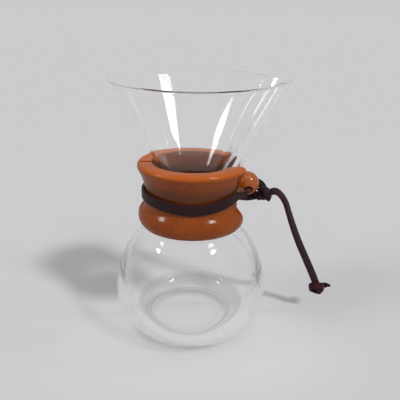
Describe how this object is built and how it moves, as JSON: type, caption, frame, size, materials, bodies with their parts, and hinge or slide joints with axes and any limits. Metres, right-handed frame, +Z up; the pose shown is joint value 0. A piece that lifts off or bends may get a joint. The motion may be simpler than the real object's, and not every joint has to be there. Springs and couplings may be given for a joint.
{
  "type": "pour-over coffee maker",
  "caption": "Hourglass glass pour-over coffee maker with a funnel, a pouring channel and a bowl, a split wooden collar tied by a leather strap, and a wooden bead.",
  "frame": {"origin": "centre of the flat underside of the glass base, on the surface that it stands on", "axes": "+Z up along the axis of the glass, +X towards the pouring channel, +Y towards the back half of the collar"},
  "size_m": [0.1803, 0.121, 0.2],
  "materials": {
    "glass": "clear blown borosilicate glass",
    "wood": "turned hardwood with a clear lacquer",
    "leather": "dark brown dyed leather strap"
  },
  "bodies": {
    "vessel": {"glass_vessel": "glass"},
    "back_half": {"collar_back": "wood", "strap_back": "leather"},
    "front_half": {"collar_front": "wood", "strap_front": "leather", "tie_knot": "leather"},
    "bead": {"bead": "wood"},
    "tail": {"strap_tail": "leather", "end_knot": "leather"}
  },
  "joints": [
    {"name": "back_half_swing", "type": "hinge", "parent": "vessel", "child": "back_half", "pos_m": [-0.0416, 0, 0.113], "axis": [0, 0, 1], "range_deg": [0, 35]},
    {"name": "front_half_swing", "type": "hinge", "parent": "back_half", "child": "front_half", "pos_m": [-0.0416, 0, 0.113], "axis": [0, 0, 1], "range_deg": [-70, 0]},
    {"name": "bead_spin", "type": "hinge", "parent": "front_half", "child": "bead", "pos_m": [0.04182, 0, 0.1215], "axis": [0, -0.9272, -0.3746], "continuous": true},
    {"name": "tail_swing", "type": "hinge", "parent": "front_half", "child": "tail", "pos_m": [0.06074, 0, 0.11355], "axis": [0, 0, 1], "range_deg": [-45, 45]}
  ],
  "couplings": [
    {"joint": "front_half_swing", "follows": "back_half_swing", "ratio": -2}
  ]
}
